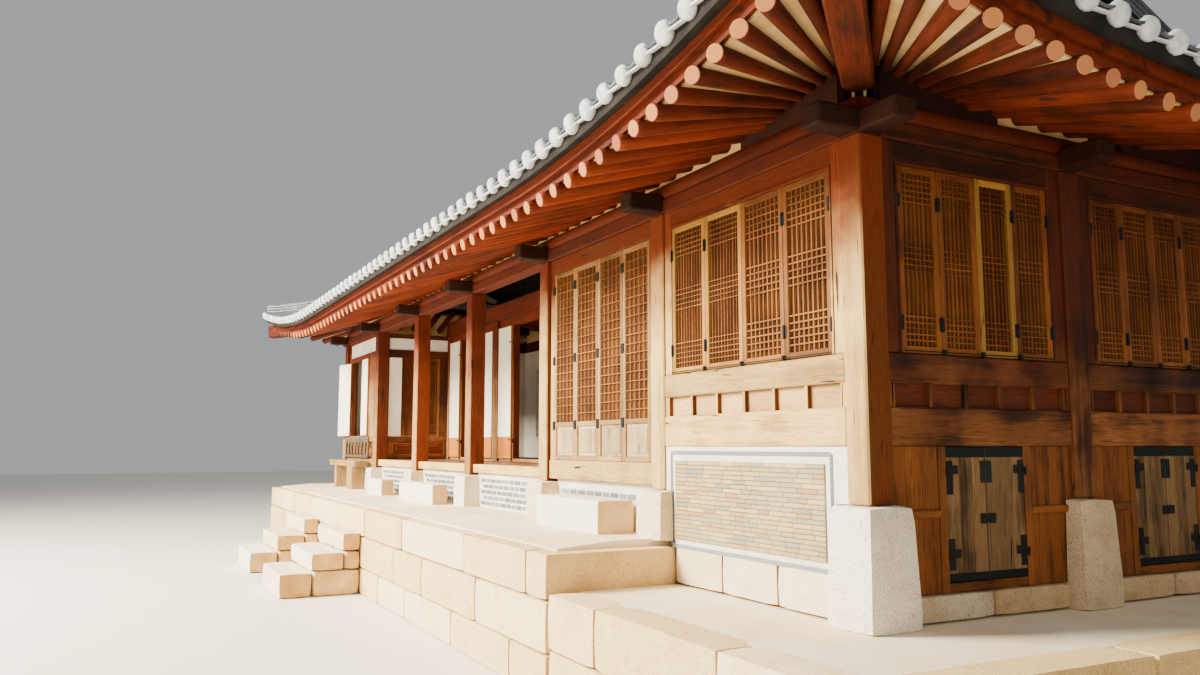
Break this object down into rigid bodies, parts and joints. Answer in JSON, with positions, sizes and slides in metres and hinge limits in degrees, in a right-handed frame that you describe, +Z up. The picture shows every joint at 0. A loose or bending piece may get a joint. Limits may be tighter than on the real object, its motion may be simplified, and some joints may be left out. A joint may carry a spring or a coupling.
{
  "type": "timber house with a tiled hip-and-gable roof",
  "caption": "Hanok house on a granite podium: timber frame, lattice windows, open porch with hinged doors, storage doors under the end windows, and a tiled hip-and-gable roof with curved eaves.",
  "frame": {"origin": "on the ground, under the axis of the front corner column", "axes": "+Z up, +X along the long front towards the corner, +Y from the front to the back"},
  "size_m": [19.6396, 8.4703, 6.7908],
  "materials": {
    "granite": "dressed, weathered",
    "pine_bleached": "bare, bleached by sun",
    "pine_red": "oiled, red-brown",
    "lattice": "bare lattice bars",
    "store_boards": "weathered boards",
    "brick": "thin bricks in lime mortar",
    "plaster": "lime plaster",
    "paper": "mulberry paper",
    "tile": "fired clay tile",
    "iron": "forged, blackened"
  },
  "bodies": {
    "house": {"podium": "granite", "terrace": "granite", "east_steps": "granite", "west_steps": "granite", "corner_column": "pine_bleached", "front_frame": "pine_red", "back_frame": "pine_red", "east_frame": "pine_red", "west_frame": "pine_red", "porch_frame": "pine_red", "corner_brick_panel": "brick", "corner_front_wall": "pine_bleached", "corner_window": "lattice", "side_bay_1_wall": "pine_red", "side_bay_1_window": "lattice", "side_bay_1_store_boards": "pine_red", "side_bay_2_wall": "pine_red", "side_bay_2_window": "lattice", "side_bay_2_store_boards": "pine_red", "middle_room_frame": "pine_bleached", "folding_doors": "lattice", "base_wall": "plaster", "porch_floor": "pine_bleached", "room_floor": "pine_bleached", "loft_floor": "pine_bleached", "porch_wall_bay_3": "plaster", "porch_bay_4_wall": "pine_red", "porch_bay_5_wall": "pine_red", "porch_west_wall": "pine_red", "porch_west_window": "lattice", "porch_east_wall": "plaster", "west_room_front": "pine_red", "west_room_leaf_west": "paper", "west_room_leaf_east": "paper", "bench": "pine_bleached", "back_wall": "plaster", "west_wall": "plaster", "front_rafters": "pine_red", "front_roof": "tile", "back_rafters": "pine_red", "back_roof": "tile", "east_rafters": "pine_red", "east_roof": "tile", "west_rafters": "pine_red", "west_roof": "tile", "east_gable": "plaster", "west_gable": "plaster", "roof_ridges": "tile"},
    "store_leaf_1_south": {"side_bay_1_leaf_south": "store_boards"},
    "store_leaf_1_north": {"side_bay_1_leaf_north": "store_boards"},
    "store_leaf_2_south": {"side_bay_2_leaf_south": "store_boards"},
    "store_leaf_2_north": {"side_bay_2_leaf_north": "store_boards"},
    "porch_leaf_4_west": {"porch_bay_4_leaf_west": "paper"},
    "porch_leaf_4_east": {"porch_bay_4_leaf_east": "paper"},
    "porch_leaf_5_west": {"porch_bay_5_leaf_west": "paper"},
    "porch_leaf_5_east": {"porch_bay_5_leaf_east": "paper"}
  },
  "joints": [
    {"name": "side_bay_1_hinge_south", "type": "hinge", "parent": "house", "child": "store_leaf_1_south", "pos_m": [0.092, 0.644, 1.63], "axis": [0, 0, -1], "range_deg": [0, 110]},
    {"name": "side_bay_1_hinge_north", "type": "hinge", "parent": "house", "child": "store_leaf_1_north", "pos_m": [0.092, 1.456, 1.63], "axis": [0, 0, 1], "range_deg": [0, 110]},
    {"name": "side_bay_2_hinge_south", "type": "hinge", "parent": "house", "child": "store_leaf_2_south", "pos_m": [0.092, 2.774, 1.63], "axis": [0, 0, -1], "range_deg": [0, 110]},
    {"name": "side_bay_2_hinge_north", "type": "hinge", "parent": "house", "child": "store_leaf_2_north", "pos_m": [0.092, 3.586, 1.63], "axis": [0, 0, 1], "range_deg": [0, 110]},
    {"name": "porch_bay_4_hinge_west", "type": "hinge", "parent": "house", "child": "porch_leaf_4_west", "pos_m": [-10.05, 1.368, 3], "axis": [0, 0, 1], "range_deg": [0, 180]},
    {"name": "porch_bay_4_hinge_east", "type": "hinge", "parent": "house", "child": "porch_leaf_4_east", "pos_m": [-8.85, 1.368, 3], "axis": [0, 0, -1], "range_deg": [0, 180]},
    {"name": "porch_bay_5_hinge_west", "type": "hinge", "parent": "house", "child": "porch_leaf_5_west", "pos_m": [-12.75, 1.368, 3], "axis": [0, 0, 1], "range_deg": [0, 180]},
    {"name": "porch_bay_5_hinge_east", "type": "hinge", "parent": "house", "child": "porch_leaf_5_east", "pos_m": [-11.55, 1.368, 3], "axis": [0, 0, -1], "range_deg": [0, 180]}
  ]
}
